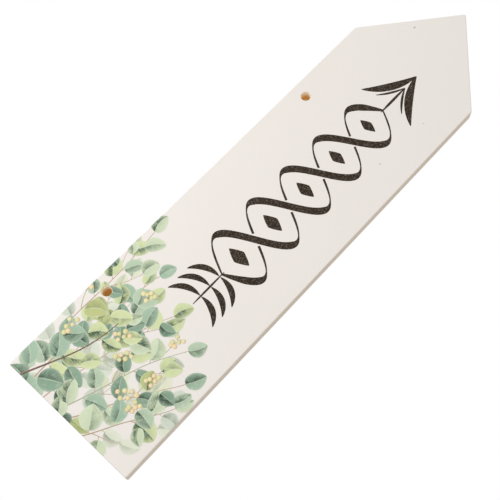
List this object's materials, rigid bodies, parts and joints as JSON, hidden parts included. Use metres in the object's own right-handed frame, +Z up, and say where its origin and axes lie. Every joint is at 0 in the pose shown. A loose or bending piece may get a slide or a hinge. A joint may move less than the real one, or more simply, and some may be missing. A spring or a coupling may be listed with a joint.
{
  "type": "wooden arrow sign",
  "caption": "Flat wooden direction sign cut as an arrow, with a pointed head, a printed front, sanded edges and drilled hanging holes along its top edge.",
  "frame": {"origin": "midway between the two hanging holes, on the back face", "axes": "+Z up to the hanging edge, +X along the arrow towards its tip, -Y out of the printed front"},
  "size_m": [0.3779, 0.009, 0.1],
  "materials": {
    "printed_wood": "matt ivory painted and printed front; bare sanded softwood on the edges, in the holes and on the back"
  },
  "bodies": {
    "root": {"sign_board": "printed_wood"}
  },
  "joints": []
}
